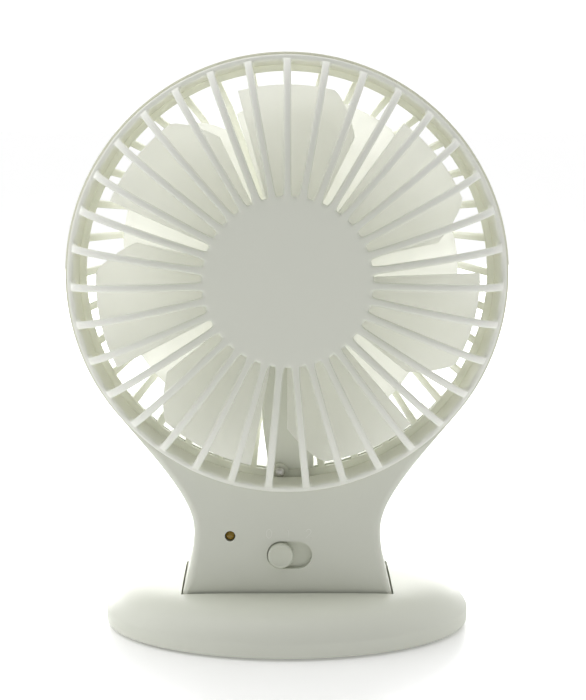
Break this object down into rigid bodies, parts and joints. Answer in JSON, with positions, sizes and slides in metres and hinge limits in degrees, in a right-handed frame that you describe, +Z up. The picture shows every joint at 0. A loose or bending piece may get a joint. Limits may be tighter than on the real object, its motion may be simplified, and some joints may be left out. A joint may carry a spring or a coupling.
{
  "type": "desk fan",
  "caption": "Small round desk fan with a domed front grille, two impellers in line, a tilting neck with a slide switch, and a weighted oval base.",
  "frame": {"origin": "middle of the base's footprint, on the desk (z = 0)", "axes": "+Z up, the fan blows towards -Y, +X is to the right seen from the front"},
  "size_m": [0.1408, 0.096, 0.1885],
  "materials": {
    "ivory_plastic": "satin moulded ABS",
    "blade_plastic": "satin moulded polypropylene",
    "motor_can": "zinc plated",
    "plated_steel": "nickel plated",
    "dark_steel": "plain",
    "rubber": "matt",
    "circuit_board": "solder resist",
    "switch_body": "matt",
    "lamp_lens": "clear amber",
    "red_lead": "satin",
    "black_lead": "satin"
  },
  "bodies": {
    "base": {"base_cover": "ivory_plastic", "base_plate": "ivory_plastic", "pivot_bracket": "dark_steel", "foot_pad_1": "rubber", "foot_pad_2": "rubber", "foot_pad_3": "rubber", "foot_pad_4": "rubber", "base_screw_1": "plated_steel", "base_screw_2": "plated_steel", "base_screw_3": "plated_steel", "base_screw_4": "plated_steel", "bracket_screw_1": "plated_steel", "bracket_screw_2": "plated_steel", "ballast_left": "dark_steel", "ballast_right": "dark_steel"},
    "head": {"front_housing": "ivory_plastic", "rear_housing": "ivory_plastic", "housing_screw_1": "plated_steel", "housing_screw_3": "plated_steel", "housing_screw_2": "plated_steel", "housing_screw_4": "plated_steel", "front_grille": "ivory_plastic", "rear_grille": "ivory_plastic", "motor_carrier": "ivory_plastic", "duct_screw": "plated_steel", "front_motor": "motor_can", "rear_motor": "motor_can", "circuit_board": "circuit_board", "slide_switch": "switch_body", "power_lamp": "lamp_lens", "power_inlet": "plated_steel", "motor_lead_red": "red_lead", "motor_lead_black": "black_lead", "inlet_lead_red": "red_lead", "inlet_lead_black": "black_lead", "tilt_axle": "plated_steel", "friction_washer_left": "dark_steel", "friction_washer_right": "dark_steel"},
    "front_impeller": {"front_impeller": "blade_plastic", "front_shaft": "plated_steel"},
    "rear_impeller": {"rear_impeller": "blade_plastic", "rear_shaft": "plated_steel"},
    "switch_knob": {"switch_knob": "ivory_plastic"}
  },
  "joints": [
    {"name": "head_tilt", "type": "hinge", "parent": "base", "child": "head", "pos_m": [0, 0, 0.018], "axis": [-1, 0, 0], "range_deg": [-10, 20]},
    {"name": "front_impeller_spin", "type": "hinge", "parent": "head", "child": "front_impeller", "pos_m": [0, -0.03, 0.118], "axis": [0, 1, 0], "continuous": true},
    {"name": "rear_impeller_spin", "type": "hinge", "parent": "head", "child": "rear_impeller", "pos_m": [0, 0.01, 0.118], "axis": [0, -1, 0], "continuous": true},
    {"name": "switch_slide", "type": "slide", "parent": "head", "child": "switch_knob", "axis": [1, 0, 0], "range_m": [0, 0.0058]}
  ]
}
